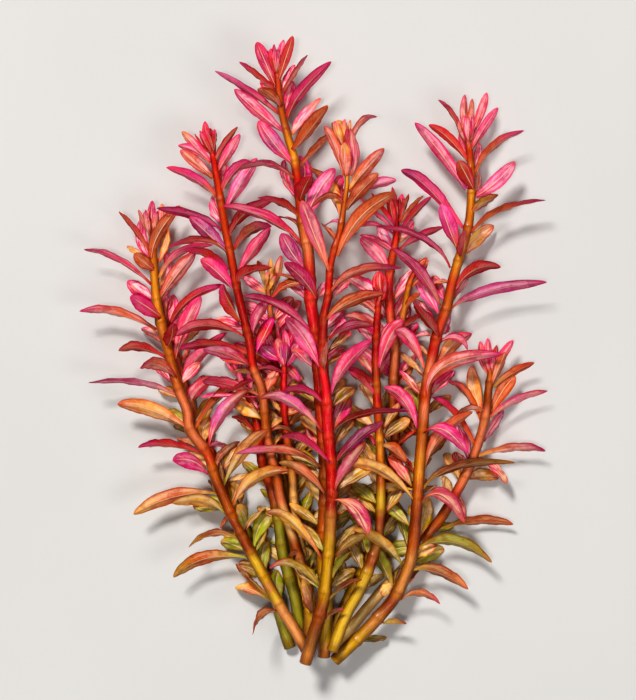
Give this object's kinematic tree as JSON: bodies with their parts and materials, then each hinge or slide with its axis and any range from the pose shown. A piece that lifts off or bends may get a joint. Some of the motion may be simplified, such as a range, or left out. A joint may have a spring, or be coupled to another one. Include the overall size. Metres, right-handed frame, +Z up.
{
  "type": "rotala bunch",
  "caption": "Loose bunch of cut, leafy stems of a red-leaved aquarium stem plant (rotala), lying flat, with narrow pink, red and olive leaves and bare brown cut ends.",
  "frame": {"origin": "on the surface that the bunch lies on, under the centre of its bounding box", "axes": "+Y from the cut ends towards the leafy tips, +Z up from the surface, +X to the right as seen from above with the tips away from the viewer"},
  "size_m": [0.1246, 0.1658, 0.0271],
  "materials": {
    "red_leafy_stem": "satin",
    "olive_leafy_stem": "satin"
  },
  "bodies": {
    "root": {"stem_tall_left_front": "red_leafy_stem", "stem_center_front": "red_leafy_stem", "stem_left_middle": "red_leafy_stem", "stem_left_outer": "red_leafy_stem", "stem_left_outer_back": "olive_leafy_stem", "stem_right_tall": "red_leafy_stem", "stem_right_low": "red_leafy_stem", "stem_right_middle": "olive_leafy_stem", "stem_right_middle_back": "red_leafy_stem", "shoot_right_middle_side": "red_leafy_stem", "stem_left_middle_back": "olive_leafy_stem", "stem_center_back_olive": "olive_leafy_stem", "stem_center_back_pink": "red_leafy_stem"}
  },
  "joints": []
}
